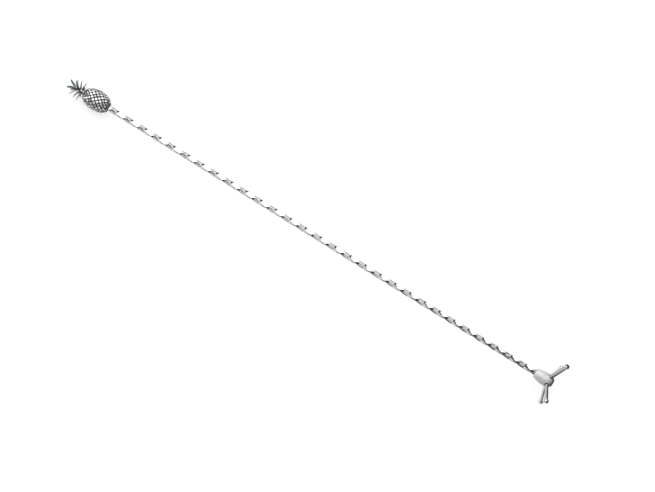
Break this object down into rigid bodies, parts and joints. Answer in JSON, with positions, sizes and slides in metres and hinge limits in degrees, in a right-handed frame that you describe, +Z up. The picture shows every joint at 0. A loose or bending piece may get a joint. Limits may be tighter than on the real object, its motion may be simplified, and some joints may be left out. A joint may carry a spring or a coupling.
{
  "type": "drink stirrer",
  "caption": "Long metal drink stirrer with a twisted square shaft, a cast pineapple finial and a turned head with splayed ball-ended prongs.",
  "frame": {"origin": "middle of the box at table height, with the stirrer lying as it comes to rest on one eye of the pineapple and on the balls of the two lower prongs", "axes": "+X along the shaft from the pineapple to the prongs, +Y to the left when looking along +X, +Z up"},
  "size_m": [0.3492, 0.0272, 0.0273],
  "materials": {
    "shaft_steel": "polished stainless steel with fine drawing marks",
    "cast_steel": "bright cast stainless steel, darker in the grooves and pits",
    "satin_steel": "satin stainless steel with turning marks",
    "bright_steel": "polished stainless steel"
  },
  "bodies": {
    "root": {"twisted_shaft": "shaft_steel", "pineapple_finial": "cast_steel", "swizzle_hub": "satin_steel", "swizzle_prong_1": "bright_steel", "swizzle_prong_2": "bright_steel", "swizzle_prong_3": "bright_steel", "swizzle_prong_4": "bright_steel"}
  },
  "joints": []
}
